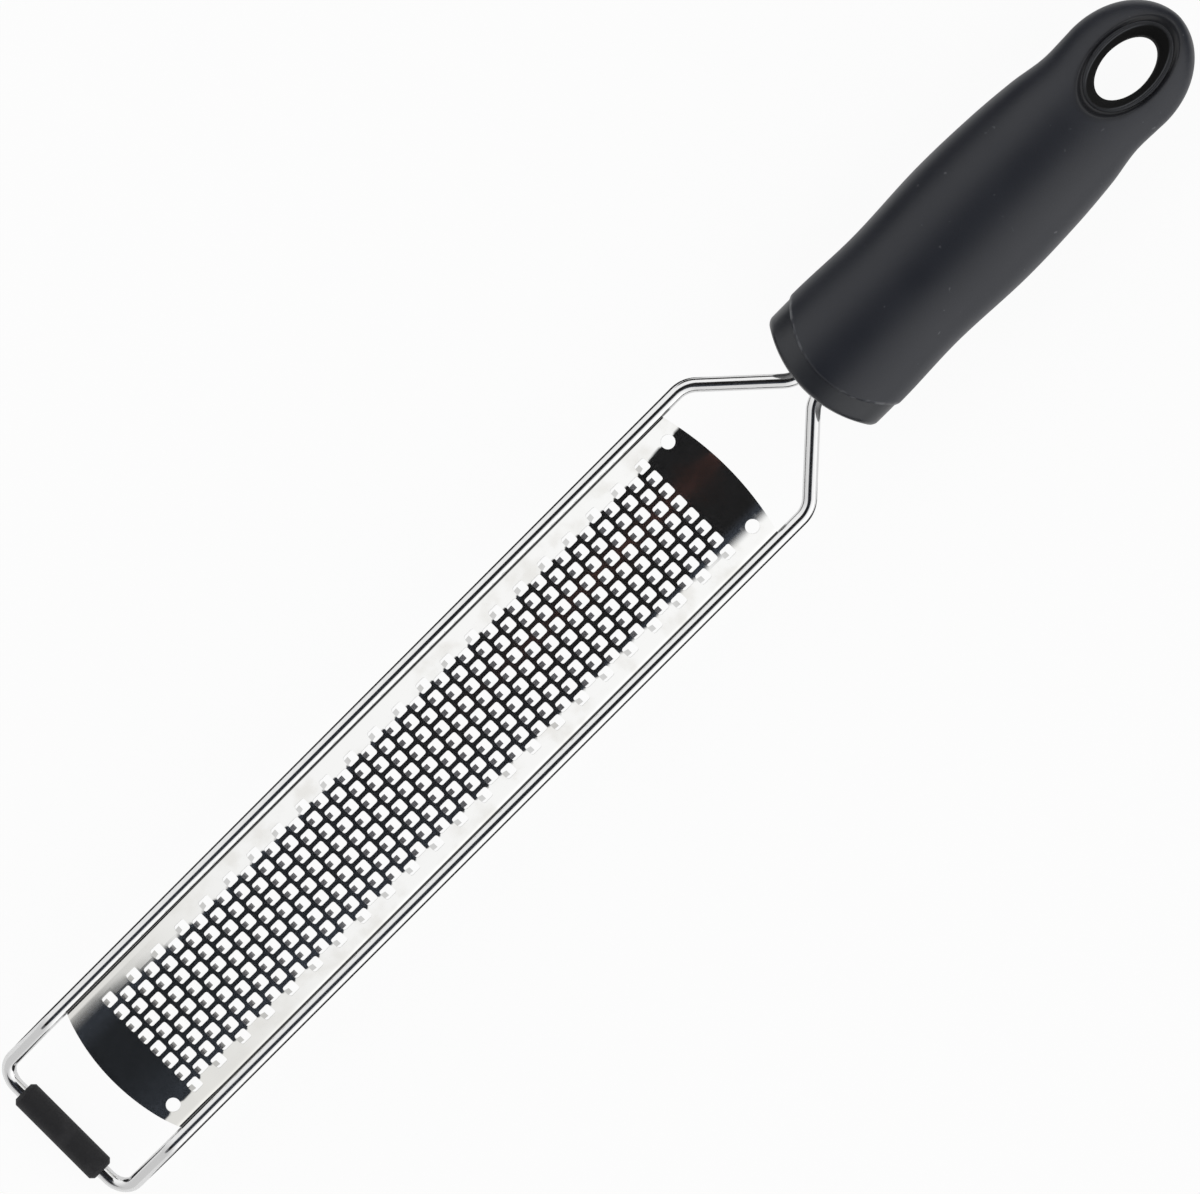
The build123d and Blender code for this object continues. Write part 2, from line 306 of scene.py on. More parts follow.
tooth_length, tooth_width, tooth_lift = 1.1 * mm, 1.15 * mm, 0.52 * mm
tooth_root, tooth_sunk, tooth_lip = 0.12 * mm, 0.02 * mm, 0.04 * mm
tooth_thick, tooth_taper, tooth_curve = 0.42 * mm, 0.05, 1.1
pilot_radius, pilot_y = 1.5 * mm, 11.9 * mm
pilot_tip, pilot_handle = 5.2 * mm, 4.8 * mm
block_half, outer_row = 2.2 * mm, 3.5
edge_place = roll_y + 1.16 * mm
blade_steel, clouded_steel, tip_darker_steel = "#F4F4F3", "#E8E7E4", "#DFDEDA"
tip_darkening_reach = (-85.0 * mm, -135.0 * mm)
sheet_joint_shade_side = (15.85 * mm, 16.05 * mm)


def on_sheet(x, s, height):
    """A place on the pressed sheet, from its distance along, its distance across
    as measured on the flat sheet, and its height above the top face. The middle is
    flat, each flank bends down over a soft fold whose place, width and slope change
    along the blade, and an arc curls the edge down to its fixed place."""
    side, across = np.sign(s), np.abs(s)
    fold = np.where(s > 0, np.interp(x, left_fold[:, 0], left_fold[:, 1]),
                    np.interp(x, right_fold[:, 0], right_fold[:, 1]))
    soft = np.where(s > 0, np.interp(x, left_fold[:, 0], left_fold[:, 2]),
                    np.interp(x, right_fold[:, 0], right_fold[:, 2]))
    left_slope = np.radians(np.interp(x / mm, left_lean[:, 0], left_lean[:, 1]))
    lean = np.where(s > 0, left_slope, fold_slope)
    into = np.clip((across - fold) / soft + 0.5, 0, 1)
    past = np.clip(across - fold - soft / 2, 0, None) + soft * into ** 2 / 2
    flank_end = crown - np.tan(lean) * (roll_y - fold)
    chord = np.hypot(flank_end - edge_height, edge_y - roll_y)
    turn = 2 * (np.arctan2(flank_end - edge_height, edge_y - roll_y) - lean)
    radius = chord / (2 * np.sin(turn / 2))
    curl = lean + turn * np.clip((across - roll_y) / (edge_place - roll_y), 0, 1)
    rolled = across > roll_y
    slope = np.where(rolled, curl, lean * into)
    y = np.where(rolled, roll_y + radius * (np.sin(curl) - np.sin(lean)), across)
    z = np.where(rolled, flank_end - radius * (np.cos(lean) - np.cos(curl)),
                 crown - np.tan(lean) * past)
    return np.stack([blade_x + x, side * (y + height * np.sin(slope)),
                     rail_z + z + height * np.cos(slope)], -1)


def tile(centres, points, faces):
    """One small shape of points and faces, copied to every centre."""
    many = (centres[:, None] + points[None]).reshape(-1, points.shape[1])
    shift = np.arange(len(centres))[:, None, None] * len(points)
    return many, (faces[None] + shift).reshape(-1, faces.shape[1])


def around(half_x, half_y, corner):
    """Sixteen points round a rectangle, four a side from each corner's middle,
    with corners rounded to a radius."""
    cut = corner * (1 - 0.5 ** 0.5)
    loop = []
    for turn in range(4):
        a, b = (half_x, half_y) if turn % 2 == 0 else (half_y, half_x)
        side = np.array([(-a + cut, -b + cut), (-(a - corner if corner else a / 2), -b), (0, -b),
                         (a - corner if corner else a / 2, -b)])
        c, s = round(cos(turn * pi / 2)), round(sin(turn * pi / 2))
        loop.append(side @ np.array([(c, s), (-s, c)]))
    return np.concatenate(loop)


def lattice(xs, ys):
    """A flat grid of quads between lines along and across."""
    x, y = np.meshgrid(xs, ys, indexing="ij")
    return np.stack([x, y], -1).reshape(-1, 2), grid_faces(len(xs), len(ys), closed=False)


def plate_end(inner, hole_x, hole_sides, end_bow):
    """The bare end of the sheet, as distances from that end: four strips from the
    bowed edge, a block with the pilot holes, and strips up to the teeth."""
    block = (hole_x - block_half, hole_x + block_half)
    xs = np.concatenate([np.linspace(0, block[0], 5), np.linspace(*block, 5)[1:],
                         np.linspace(block[1], inner, 4)[1:]])
    flat, quads = lattice(xs, across_lines)
    middles = flat[quads].mean(1)
    drilled = np.zeros(len(quads), dtype=bool)
    rings = []
    for side in hole_sides:
        cell_y = side * outer_row * pitch_y
        off_x, off_y = np.abs(middles - (hole_x, cell_y)).T
        drilled |= (off_x < block_half) & (off_y < pitch_y / 2)
        outer = around(block_half, pitch_y / 2, 0) + (hole_x, cell_y)
        turn = np.linspace(0, 2 * pi, 32, endpoint=False) - 3 * pi / 4
        hole = np.stack([np.cos(turn), np.sin(turn)], -1) * pilot_radius
        hole += (hole_x, side * pilot_y)
        k = np.arange(16)
        ring = np.stack([k, (k + 1) % 16, 16 + (2 * k + 2) % 32, 16 + 2 * k + 1, 16 + 2 * k], -1)
        rings.append((np.concatenate([outer, hole]), ring))
    bowed = flat.copy()
    edge = end_bow * (flat[:, 1] / bow_reach) ** 2
    bowed[:, 0] += np.clip(1 - flat[:, 0] / block[0], 0, None) * edge
    return [(bowed, quads[~drilled])] + rings


quarter = pitch_y / 4
curl_lines = np.linspace(4 * pitch_y, edge_place, 7)[1:]
flat_lines = np.arange(-16, 17) * quarter
across_lines = np.concatenate([-curl_lines[::-1], flat_lines, curl_lines])
window_x = first_window + window_length / 2 + np.arange(column_count) * pitch_x
field_start = window_x[0] - pitch_x / 2
field_end = window_x[-1] + pitch_x / 2

cell = np.concatenate([around(pitch_x / 2, pitch_y / 2, 0),
                       around(window_length / 2, window_width / 2, window_corner)])
cell_faces = np.stack([np.arange(16), (np.arange(16) + 1) % 16,
                       16 + (np.arange(16) + 1) % 16, 16 + np.arange(16)], -1)
rows_at = [(np.arange(row_count - c % 2) - (row_count - 1 - c % 2) / 2) * pitch_y
           for c in range(column_count)]
window_centres = np.concatenate([np.stack([np.full(len(rows), x), rows], -1)
                                 for x, rows in zip(window_x, rows_at)])
patches = [tile(window_centres, cell, cell_faces)]
for c, x in enumerate(window_x):
    column_lines = x + np.linspace(-0.5, 0.5, 5) * pitch_x
    inner = (4 - c % 2 / 2) * pitch_y
    outer_lines = across_lines[across_lines > inner - quarter / 2]
    patches.append(lattice(column_lines, outer_lines))
    patches.append(lattice(column_lines, -outer_lines[::-1]))
patches += plate_end(field_start, pilot_tip, (-1,), tip_bow)
far_plate = plate_end(blade_length - field_end, pilot_handle, (-1, 1), handle_bow)
patches += [(flat * (-1, 1) + (blade_length, 0), faces[:, ::-1]) for flat, faces in far_plate]


def merged(points):
    """Points that fall together to a thousandth of a millimetre, counted once: the
    points that stay, and where each of the old ones is among them."""
    _, first, index = np.unique(np.round(points / (0.001 * mm)).astype(np.int64), axis=0,
                                return_index=True, return_inverse=True)
    return points[first], index.reshape(-1)


def joined(parts):
    """All patches as one sheet, with the faces in blocks of equal corner count."""
    flats, index = merged(np.concatenate([flat for flat, _ in parts]))
    shift, blocks = 0, {}
    for flat, faces in parts:
        blocks.setdefault(faces.shape[1], []).append(index[faces + shift])
        shift += len(flat)
    return flats, [np.concatenate(b) for b in blocks.values()]


def thickened(flat, blocks):
    """A sheet with both faces: the flat points on the top face and on the underside,
    with a wall along every edge that has a face on one side only."""
    top = on_sheet(flat[:, 0], flat[:, 1], 0)
    under = on_sheet(flat[:, 0], flat[:, 1], -sheet)
    count = len(flat)
    edges = np.concatenate([np.stack([b, np.roll(b, -1, axis=1)], -1).reshape(-1, 2)
                            for b in blocks])
    codes, backs = edges[:, 0] * count + edges[:, 1], edges[:, 1] * count + edges[:, 0]
    rim = edges[~np.isin(codes, backs)]
    walls = np.stack([rim[:, 1], rim[:, 0], rim[:, 0] + count, rim[:, 1] + count], -1)
    return np.concatenate([top, under]), blocks + [b[:, ::-1] + count for b in blocks] + [walls]


def teeth(centres):
    """Every tooth: a tab that rises from inside the window's tip-side edge and
    thins to a sharp lip, as a tube of six-sided sections between two end faces."""
    t = np.linspace(0, 1, 4)
    lift = (tooth_lift + tooth_sunk) * t ** tooth_curve - tooth_sunk
    thin = tooth_thick * (1 - t) + tooth_lip
    half = tooth_width / 2 * (1 - tooth_taper * t)
    x = -window_length / 2 - tooth_root + (tooth_length + tooth_root) * t
    across = np.array([-1, 0, 1, 1, 0, -1])
    below = np.array([0, 0, 0, 1, 1, 1])
    section = np.stack([np.broadcast_to(x[:, None], (4, 6)), half[:, None] * across,
                        lift[:, None] - thin[:, None] * below], -1).reshape(-1, 3)
    walls = grid_faces(4, 6)
    ends = np.array([[5, 4, 3, 2, 1, 0], [18, 19, 20, 21, 22, 23]])
    at = np.c_[centres, np.zeros(len(centres))]
    points, walls = tile(at, section, walls)
    ends = tile(at, section, ends)[1]
    return on_sheet(points[:, 0], points[:, 1], points[:, 2]), walls, ends


def make_blade_steel():
    """Bright annealed stainless sheet, 0.5 mm. It is a near mirror, with rolling
    lines along the blade, a slight cloudiness from etching and washing, a tone that
    turns darker and warmer towards the tip, and painted shade as a dark line along each rail.
    Real rolling lines are too fine to show, so they are drawn 0.33 mm apart and 25 mm
    long. The clouds are 6 mm wide."""
    material, tree, shader, place = new_material("bright_annealed_stainless_sheet")
    stretched = add_node(tree, "ShaderNodeMapping", links={"Vector": place},
                         values={"Scale": (0.04 / mm, 3.0 / mm, 3.0 / mm)})
    lines = add_node(tree, "ShaderNodeTexNoise", values={"Scale": 1.0, "Detail": 4.0},
                     links={"Vector": stretched.outputs[0]})
    clouds = add_node(tree, "ShaderNodeTexNoise", values={"Scale": 0.16 / mm, "Detail": 6.0},
                      links={"Vector": place})
    rough = add_node(tree, "ShaderNodeMapRange", values={1: 0.3, 2: 0.7, 3: 0.02, 4: 0.05},
                     links={0: clouds.outputs[0]})
    bump = add_node(tree, "ShaderNodeBump", values={"Strength": 0.02, "Distance": 0.003 * mm},
                    links={"Height": lines.outputs[0]})
    along, across = along_and_across(tree, place)
    # Painted shade: a dark line at the sheet's edge, along each rail.
    joint_shade = add_node(tree, "ShaderNodeMapRange",
                      values={1: sheet_joint_shade_side[0], 2: sheet_joint_shade_side[1], 3: 0.0, 4: 0.8},
                      links={0: across})
    cloudy = add_node(tree, "ShaderNodeMapRange", smooth_step, {1: 0.45, 2: 0.7},
                      {0: clouds.outputs[0]})
    clouded = add_node(tree, "ShaderNodeMix", mix_colours,
                       {6: to_linear(blade_steel), 7: to_linear(clouded_steel)},
                       {0: cloudy.outputs[0]})
    # The tone turns darker and warmer towards the tip.
    towards_tip = add_node(tree, "ShaderNodeMapRange", smooth_step,
                    {1: tip_darkening_reach[0], 2: tip_darkening_reach[1]}, {0: along})
    tip_darkened = add_node(tree, "ShaderNodeMix", mix_colours, {7: to_linear(tip_darker_steel)},
                     {0: towards_tip.outputs[0], 6: clouded.outputs[2]})
    colour = add_node(tree, "ShaderNodeMix", mix_colours, {7: to_linear(joint_shade_grey)},
                      {0: joint_shade.outputs[0], 6: tip_darkened.outputs[2]})
    tree.links.new(rough.outputs[0], shader.inputs["Roughness"])
    tree.links.new(bump.outputs[0], shader.inputs["Normal"])
    tree.links.new(colour.outputs[2], shader.inputs["Base Color"])
    shader.inputs["Metallic"].default_value = 1.0
    return material


sheet_points, sheet_blocks = thickened(*joined(patches))
tooth_points, tooth_walls, tooth_ends = teeth(window_centres)
shift = len(sheet_points)
make_piece("etched_rasp_blade", np.concatenate([sheet_points, tooth_points]),
           sheet_blocks + [tooth_walls + shift, tooth_ends + shift],
           make_blade_steel(), "rasp_blade")

# Handle core. Hard polypropylene, moulded round the two wire ends. Only its two
# visible ends are made here: the collar at the front, and the eyelet in the ring.
handle_length = 104.5 * mm
handle_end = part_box("soft_grip")[1].x
grip_half_width, grip_half_depth = 15.45 * mm, 12.0 * mm
body_shares = np.array([(-0.030, 0.976, 0.940), (0.125, 0.984, 0.956), (0.272, 0.952, 0.948),
                        (0.446, 1.000, 1.000), (0.585, 0.974, 0.924), (0.690, 0.914, 0.792),
                        (0.762, 0.840, 0.676)])
ring_x = 0.842 * handle_length
ring_width_share, ring_depth_share, ring_depth_power = 0.850, 0.600, 0.6
join_angle = radians(-6)
eyelet_x = handle_length - 14.7 * mm
rim_line = (10.15 * mm, 6.05 * mm)
bow_across = grip_half_width + 2.0 * mm
collar_bow, collar_step, collar_edge = 6.9 * mm, 0.4 * mm, 1.0 * mm
grip_start, grip_bow, grip_edge = 3.9 * mm, 10.3 * mm, 0.8 * mm
around_count, bow_rounds = 128, 6
core_black, bore_painted_shade, rim_painted_highlight = "#292B30", "#010101", "#5C5E62"


def handle_form(x, inset=0.0):
    """Half width and half depth of the handle at distances behind the collar: a
    cubic through the body's rows, each passed at the slope between its
    neighbours, then a half ellipse round the hanging hole."""
    length = handle_end - collar_x - ring_x - inset
    width = ring_width_share * grip_half_width - inset
    depth = ring_depth_share * grip_half_depth - inset
    join = sin(join_angle)
    rows = body_shares * (handle_length, grip_half_width, grip_half_depth) - (0, inset, inset)
    shrink = cos(join_angle)
    last = [ring_x + length * join, width * shrink, depth * shrink ** ring_depth_power]
    rows = np.vstack([rows, last])
    before, after = np.vstack([rows[:1], rows[:-1]]), np.vstack([rows[1:], rows[-1:]])
    slopes = (after - before)[:, 1:] / (after - before)[:, :1]
    i = np.clip(np.searchsorted(rows[:, 0], x) - 1, 0, len(rows) - 2)
    span = rows[i + 1, 0] - rows[i, 0]
    t = ((x - rows[i, 0]) / span)[..., None]
    span = span[..., None]
    body = ((2 * t ** 3 - 3 * t ** 2 + 1) * rows[i, 1:]
            + (t ** 3 - 2 * t ** 2 + t) * span * slopes[i]
            + (3 * t ** 2 - 2 * t ** 3) * rows[i + 1, 1:]
            + (t ** 3 - t ** 2) * span * slopes[i + 1])
    shrink = np.sqrt(np.clip(1 - ((x - ring_x) / length) ** 2, 0, 1))
    ring = np.stack([width * shrink, depth * shrink ** ring_depth_power], -1)
    both = np.where((x > last[0])[..., None], ring, body)
    return both[..., 0], both[..., 1]


def bow_front(y, crown_x, bow):
    """How far back a front lies at a place across: an arc in plan through its crown."""
    radius = (bow_across ** 2 + bow ** 2) / (2 * bow)
    return crown_x + radius - np.sqrt(radius ** 2 - y ** 2)


def form_rings(crown_x, bow, edge, inset, back, stations):
    """Rings of the handle form from its bowed front to a place behind: the front
    wall shrinks to its middle, an arc rounds its edge, and the side runs back. How
    far back a point lies depends on the width there, so both are found in rounds."""
    angle = np.linspace(0, 2 * pi, around_count, endpoint=False)
    wall = [(edge, 0.0, share, 0.0) for share in np.linspace(0, 1, 12)[1:]]
    bend = [(edge * (1 - sin(a)), edge * (1 - cos(a)), 1.0, 0.0)
            for a in np.linspace(0, pi / 2, 7)[1:]]
    side = [(0.0, edge, 1.0, run) for run in np.linspace(0, 1, stations)[1:]]
    rings = []
    for drawn_in, behind, share, run in wall + bend + side:
        x = np.full(around_count, crown_x + bow / 4)
        for _ in range(bow_rounds):
            half_y, half_z = handle_form(x, inset)
            y = (half_y - drawn_in) * share * np.cos(angle)
            start = bow_front(y, crown_x, bow) + behind
            x = start + (back - start) * run
        rings.append(np.stack([x, y, (half_z - drawn_in) * share * np.sin(angle)], -1))
    return np.array(rings) + (collar_x, 0, rail_z)


def oval_distance(tree, place, half):
    """How far out a place lies from the hanging hole's axis, as a share of an oval."""
    to_axis = add_node(tree, "ShaderNodeVectorMath", {"operation": "SUBTRACT"},
                       {1: (collar_x + eyelet_x, 0, 0)}, {0: place})
    shares = add_node(tree, "ShaderNodeVectorMath", multiply,
                      {1: (1 / half[0], 1 / half[1], 0)}, {0: to_axis.outputs[0]})
    return add_node(tree, "ShaderNodeVectorMath", {"operation": "LENGTH"},
                    links={0: shares.outputs[0]}).outputs["Value"]


def make_core_plastic():
    """Moulded black polypropylene. It is satin, with a fine even spark texture,
    faint rub marks that shine a little more, a dull bore darkened by painted shade, and
    a painted highlight as a pale line on both long sides of the rim. Real spark
    texture is too fine to show, so it is drawn at 0.33 mm. The rub marks are 8 mm wide."""
    material, tree, shader, place = new_material("moulded_black_polypropylene")
    grain = add_node(tree, "ShaderNodeTexNoise", values={"Scale": 3.0 / mm, "Detail": 2.0},
                     links={"Vector": place})
    rubbed = add_node(tree, "ShaderNodeTexNoise", values={"Scale": 0.12 / mm, "Detail": 4.0},
                      links={"Vector": place})
    rough = add_node(tree, "ShaderNodeMapRange", values={1: 0.3, 2: 0.7, 3: 0.3, 4: 0.42},
                     links={0: rubbed.outputs[0]})
    bump = add_node(tree, "ShaderNodeBump", values={"Strength": 0.12, "Distance": 0.03 * mm},
                    links={"Height": grain.outputs[0]})
    rim = oval_distance(tree, place, rim_line)
    off_rim = add_node(tree, "ShaderNodeMath", {"operation": "SUBTRACT"}, {1: 1.0}, {0: rim})
    off_rim = add_node(tree, "ShaderNodeMath", absolute, links={0: off_rim.outputs[0]})
    # Painted shade: inside the rim the bore is darkened, and made fully rough.
    bore_shade_share = add_node(tree, "ShaderNodeMapRange", smooth_step, {1: 1.1, 2: 0.95}, {0: rim})
    shaded_bore = add_node(tree, "ShaderNodeMix", mix_colours,
                    {6: to_linear(core_black), 7: to_linear(bore_painted_shade)},
                    {0: bore_shade_share.outputs[0]})
    rough = add_node(tree, "ShaderNodeMix", {"data_type": "FLOAT"}, {3: 1.0},
                     {0: bore_shade_share.outputs[0], 2: rough.outputs[0]})
    # Painted highlight: a pale line along the rim, on its long sides only.
    near_rim = add_node(tree, "ShaderNodeMapRange", smooth_step, {1: 0.03, 2: 0.008, 4: 0.65},
                        {0: off_rim.outputs[0]})
    long_sides = add_node(tree, "ShaderNodeMapRange", smooth_step,
                          {1: 2.5 * mm, 2: 5.2 * mm, 3: 0.15},
                          {0: along_and_across(tree, place)[1]})
    highlight_and_nicks = add_node(tree, "ShaderNodeMath", multiply,
                    links={0: near_rim.outputs[0], 1: long_sides.outputs[0]})
    colour = add_node(tree, "ShaderNodeMix", mix_colours, {7: to_linear(rim_painted_highlight)},
                      {0: highlight_and_nicks.outputs[0], 6: shaded_bore.outputs[2]})
    tree.links.new(rough.outputs[0], shader.inputs["Roughness"])
    tree.links.new(bump.outputs[0], shader.inputs["Normal"])
    tree.links.new(colour.outputs[2], shader.inputs["Base Color"])
    shader.inputs["Specular IOR Level"].default_value = 0.46
    return material


core_plastic = make_core_plastic()
collar_back = grip_start + grip_bow + 2 * mm
collar_rings = form_rings(0, collar_bow, collar_edge, collar_step, collar_back, 10)
collar_points, collar_faces = closed_rings(collar_rings)
make_piece("collar_front", collar_points, collar_faces, core_plastic,
           "handle_core")

# Eyelet: the same hard core, showing as a flared oval bush in the ring. Its rim
# stands in a shallow dish of the grip and narrows to a waist at mid height.
waist = np.array((15.4, 9.4)) * mm / 2
mouth = np.array((19.9, 12.6)) * mm / 2
eyelet_wall, eyelet_recess = 0.7 * mm, 0.9 * mm
throat_half, eyelet_lip, flare_round = 2.4 * mm, 0.2 * mm, 0.35
oval_count = 160
oval = np.linspace(0, 2 * pi, oval_count, endpoint=False)


def oval_ring(half, angle):
    """An oval round the eyelet's middle, as places behind the collar and across."""
    return np.stack([eyelet_x + half[0] * np.cos(angle), half[1] * np.sin(angle)], -1)


def form_height(plan, inset=0.0):
    """Height of the handle form above its middle plane, over places in plan."""
    half_y, half_z = handle_form(plan[..., 0], inset)
    return half_z * np.sqrt(np.clip(1 - (plan[..., 1] / np.maximum(half_y, 1e-6)) ** 2, 0, 1))


def eyelet_loops():
    """Loops round the eyelet, from mid height up the straight throat, out over the
    flare, round the rim, down the outer wall, and mirrored below."""
    rim = form_height(oval_ring(mouth + eyelet_wall / 2, oval), eyelet_recess)
    upper = [np.c_[oval_ring(waist, oval), np.zeros(oval_count)]]
    for a in np.linspace(0, pi / 2, 12):
        flat = oval_ring(waist + (mouth - waist) * (1 - cos(a)), oval)
        rise = flare_round * sin(a) + (1 - flare_round) * (1 - cos(a))
        upper.append(np.c_[flat, throat_half + (rim - eyelet_lip - throat_half) * rise])
    for a in np.linspace(0, pi, 7)[1:]:
        flat = oval_ring(mouth + eyelet_wall / 2 * (1 - cos(a)), oval)
        upper.append(np.c_[flat, rim - eyelet_lip + eyelet_lip * sin(a)])
    upper = np.array(upper)
    lower = upper[:0:-1] * (1, 1, -1)
    return np.concatenate([upper, lower]) + (collar_x, 0, rail_z)


eyelet = eyelet_loops()
eyelet_rows = len(eyelet)
eyelet_quads = grid_faces(eyelet_rows + 1, oval_count)[:, ::-1] % (eyelet_rows * oval_count)
make_piece("hanging_eyelet", eyelet.reshape(-1, 3), [eyelet_quads], core_plastic,
           "handle_core")

# Soft grip. Thermoplastic rubber, moulded over the core from the collar to the
# ring, where it dips in a shallow dish towards the eyelet.
grip_black, grip_shade, dish_painted_shade, highlight_and_nick_grey = "#23262F", "#1A1D26", "#060607", "#77797D"
seam_x = 72.0 * mm
dish = np.array((25.0, 15.6)) * mm / 2
dish_depth = 1.1 * mm
outline_count, outline_samples = 96, 3000
seam_count = around_count // 2 + 1


def ring_outline():
    """The plan outline of the form's end, in even steps from one side of the
    seam round the tail to the other, without its two ends."""
    tail = handle_end - collar_x
    x = seam_x + (tail - seam_x) * np.sin(np.linspace(0, pi / 2, outline_samples))
    y = handle_form(x)[0]
    y[-1] = 0
    half = np.stack([x, -y], -1)
    line = np.concatenate([half, half[-2::-1] * (1, -1)])
    run = np.concatenate([[0], np.cumsum(np.linalg.norm(np.diff(line, axis=0), axis=1))])
    at = np.linspace(0, run[-1], outline_count + 1)[1:-1]
    return np.stack([np.interp(at, run, line[:, 0]), np.interp(at, run, line[:, 1])], -1)


def ring_half():
    """Loops of the ring's upper face, from the post of the eyelet up the dish and
    out to the outline, closer together towards the outline where the face turns down."""
    seam_half = handle_form(np.array([seam_x]))[0][0]
    seam = np.stack([np.full(seam_count, seam_x),
                     seam_half * np.cos(np.linspace(0, pi, seam_count))], -1)
    outer = np.concatenate([seam, ring_outline()])
    angle = np.arctan2(outer[:, 1] / dish[1], (outer[:, 0] - eyelet_x) / dish[0])
    post = mouth + eyelet_wall
    loops = []
    for share in np.linspace(0, 1, 8)[:-1]:
        plan = oval_ring(post + (dish - post) * share, angle)
        sink = dish_depth * 0.5 * (1 + cos(pi * share))
        loops.append(np.c_[plan, form_height(plan) - sink])
    inner = oval_ring(dish, angle)
    for share in np.sin(np.linspace(0, pi / 2, 24)):
        plan = inner + (outer - inner) * share
        loops.append(np.c_[plan, form_height(plan)])
    return np.array(loops)


def grip_surface():
    """The body's rings up to the seam, and both faces of the ring, joined along
    the seam, the outline and the wall round the eyelet."""
    rings = form_rings(grip_start, grip_bow, grip_edge, 0.0, seam_x, 90)
    rows, sides = rings.shape[:2]
    front = rings[0].mean(0)
    body = np.concatenate([rings.reshape(-1, 3), [front]])
    k = np.arange(sides)
    cap = np.stack([(k + 1) % sides, k, np.full(sides, rows * sides)], -1)
    upper = ring_half()
    lower = upper * (1, 1, -1)
    loops, count = upper.shape[:2]
    place = np.array((collar_x, 0, rail_z))
    points = np.concatenate([body, (upper + place).reshape(-1, 3), (lower + place).reshape(-1, 3)])
    base_up, base_low = len(body), len(body) + loops * count
    sheet_up = grid_faces(loops, count) + base_up
    sheet_low = grid_faces(loops, count)[:, ::-1] + base_low
    c = np.arange(count)
    n = (c + 1) % count
    wall = np.stack([base_up + n, base_up + c, base_low + c, base_low + n], -1)
    quads = np.concatenate([grid_faces(rows, sides), sheet_up, sheet_low, wall])
    points, index = merged(points)
    return points, [index[quads], index[cap]]


def make_grip_rubber():
    """Soft-touch thermoplastic rubber, moulded in a finely blasted tool. It is a
    matt charcoal with a velvety sheen, faint rubbed clouds, a few pale nicks, a
    painted highlight along the front edge and painted shade in the dish round the
    hanging hole. Real blasted grain is too fine to show, so it is drawn at 0.4 mm.
    The clouds are 22 mm wide, and the nicks lie in cells of 2 mm."""
    material, tree, shader, place = new_material("moulded_soft_touch_rubber")
    grain = add_node(tree, "ShaderNodeTexNoise", values={"Scale": 2.6 / mm, "Detail": 3.0},
                     links={"Vector": place})
    rubbed = add_node(tree, "ShaderNodeTexNoise", values={"Scale": 0.045 / mm, "Detail": 6.0},
                      links={"Vector": place})
    colour = add_node(tree, "ShaderNodeMix", mix_colours,
                      {6: to_linear(grip_shade), 7: to_linear(grip_black)},
                      {0: rubbed.outputs[0]})
    # Painted shade: darker inside the dish round the hanging hole.
    dish_shade_share = add_node(tree, "ShaderNodeMapRange", smooth_step, {1: 1.12, 2: 0.9, 4: 0.75},
                       {0: oval_distance(tree, place, dish)})
    colour = add_node(tree, "ShaderNodeMix", mix_colours, {7: to_linear(dish_painted_shade)},
                      {0: dish_shade_share.outputs[0], 6: colour.outputs[2]})
    bow_radius = (bow_across ** 2 + grip_bow ** 2) / (2 * grip_bow)
    from_centre = add_node(tree, "ShaderNodeVectorMath", {"operation": "SUBTRACT"},
                           {1: (collar_x + grip_start + bow_radius, 0, 0)}, {0: place})
    in_plan = add_node(tree, "ShaderNodeVectorMath", multiply, {1: (1, 1, 0)},
                       {0: from_centre.outputs[0]})
    reach = add_node(tree, "ShaderNodeVectorMath", {"operation": "LENGTH"},
                     links={0: in_plan.outputs[0]})
    specks = add_node(tree, "ShaderNodeTexNoise", values={"Scale": 0.52 / mm, "Detail": 1.0},
                      links={"Vector": place})
    along, across = along_and_across(tree, place)
    # Painted highlight: a pale, broken line along the rounded front edge of the grip. The pale
    # nicks added to it below are wear.
    highlight_and_nicks = add_node(tree, "ShaderNodeMapRange", smooth_step,
                    {1: bow_radius - 0.75 * mm, 2: bow_radius - 0.35 * mm},
                    {0: reach.outputs["Value"]})
    for source, limits in ((specks.outputs[0], {1: 0.42, 2: 0.62, 3: 0.05, 4: 0.5}),
                           (along, {1: collar_x + 20 * mm, 2: collar_x + 16 * mm}),
                           (across, {1: 2.5 * mm, 2: 7.0 * mm})):
        share = add_node(tree, "ShaderNodeMapRange", smooth_step, limits, {0: source})
        highlight_and_nicks = add_node(tree, "ShaderNodeMath", multiply,
                        links={0: highlight_and_nicks.outputs[0], 1: share.outputs[0]})
    nicks = add_node(tree, "ShaderNodeMapRange", smooth_step, {1: 0.75, 2: 0.83, 4: 0.4},
                     {0: specks.outputs[0]})
    highlight_and_nicks = add_node(tree, "ShaderNodeMath", {"operation": "MAXIMUM"},
                    links={0: highlight_and_nicks.outputs[0], 1: nicks.outputs[0]})
    colour = add_node(tree, "ShaderNodeMix", mix_colours, {7: to_linear(highlight_and_nick_grey)},
                      {0: highlight_and_nicks.outputs[0], 6: colour.outputs[2]})
    rough = add_node(tree, "ShaderNodeMapRange", values={1: 0.3, 2: 0.7, 3: 0.38, 4: 0.47},
                     links={0: rubbed.outputs[0]})
    bump = add_node(tree, "ShaderNodeBump", values={"Strength": 0.3, "Distance": 0.04 * mm},
                    links={"Height": grain.outputs[0]})
    tree.links.new(colour.outputs[2], shader.inputs["Base Color"])
    tree.links.new(rough.outputs[0], shader.inputs["Roughness"])
    tree.links.new(bump.outputs[0], shader.inputs["Normal"])
    shader.inputs["Specular IOR Level"].default_value = 0.54
    return material


grip_points, grip_faces = grip_surface()
make_piece("soft_grip_overmould", grip_points, grip_faces, make_grip_rubber(),
           "soft_grip")

